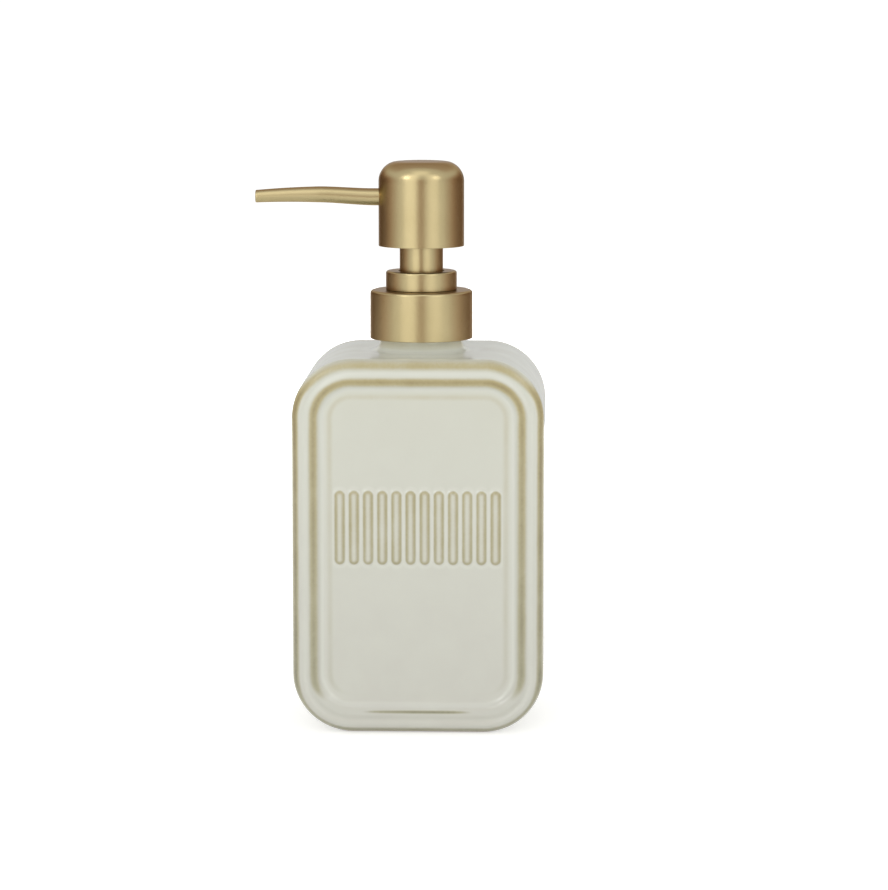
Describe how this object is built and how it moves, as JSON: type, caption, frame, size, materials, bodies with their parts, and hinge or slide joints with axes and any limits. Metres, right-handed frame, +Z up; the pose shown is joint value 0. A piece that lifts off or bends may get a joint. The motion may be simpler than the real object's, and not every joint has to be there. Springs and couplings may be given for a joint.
{
  "type": "detergent pump dispenser bottle",
  "caption": "Rounded stoneware bottle with framed front and back panels and a satin gold lotion pump that presses, swivels, unscrews and lifts out for refilling.",
  "frame": {"origin": "middle of the base on the pump's axis, at the surface it stands on", "axes": "+Z up along the pump, -Y out of the front panel, -X along the nozzle"},
  "size_m": [0.0935, 0.064, 0.1812],
  "materials": {
    "glazed_stoneware": "glossy pale grey-green glaze that breaks to tan on raised edges",
    "gold_metal": "satin gold plating",
    "white_polypropylene": "moulded",
    "natural_polypropylene": "moulded, milky",
    "natural_polyethylene": "extruded, milky",
    "washer_foam": "closed-cell foam",
    "spring_steel": "drawn wire",
    "valve_glass": "polished"
  },
  "bodies": {
    "bottle": {"bottle_body": "glazed_stoneware", "neck_thread_ring": "white_polypropylene"},
    "pump_engine": {"pump_housing": "natural_polypropylene", "neck_gasket": "washer_foam", "chaplet": "white_polypropylene", "chaplet_cover": "gold_metal", "return_spring": "spring_steel", "dip_tube": "natural_polyethylene"},
    "collar": {"collar_shell": "gold_metal", "screw_cap": "white_polypropylene"},
    "piston_unit": {"piston": "natural_polyethylene"},
    "head": {"head_shell": "gold_metal", "actuator_core": "white_polypropylene", "nozzle_tube": "gold_metal", "stem_sleeve": "gold_metal", "stem": "natural_polypropylene", "piston_retainer": "white_polypropylene"},
    "inlet_valve": {"inlet_ball": "valve_glass"},
    "outlet_valve": {"outlet_ball": "valve_glass"}
  },
  "joints": [
    {"name": "pump_lift", "type": "slide", "parent": "bottle", "child": "pump_engine", "axis": [0, 0, 1], "range_m": [0, 0.14]},
    {"name": "collar_turn", "type": "hinge", "parent": "pump_engine", "child": "collar", "pos_m": [0, 0, 0.13], "axis": [0, 0, 1], "range_deg": [0, 450]},
    {"name": "pump_stroke", "type": "slide", "parent": "pump_engine", "child": "piston_unit", "axis": [0, 0, -1], "range_m": [0, 0.012], "stiffness_N_per_m": 600, "springref_m": -0.008, "deforming": ["return_spring"]},
    {"name": "head_swivel", "type": "hinge", "parent": "piston_unit", "child": "head", "pos_m": [0, 0, 0.16], "axis": [0, 0, 1], "continuous": true},
    {"name": "inlet_ball_lift", "type": "slide", "parent": "pump_engine", "child": "inlet_valve", "axis": [0, 0, 1], "range_m": [0, 0.0015]},
    {"name": "outlet_ball_lift", "type": "slide", "parent": "head", "child": "outlet_valve", "axis": [0, 0, 1], "range_m": [0, 0.0015]}
  ]
}
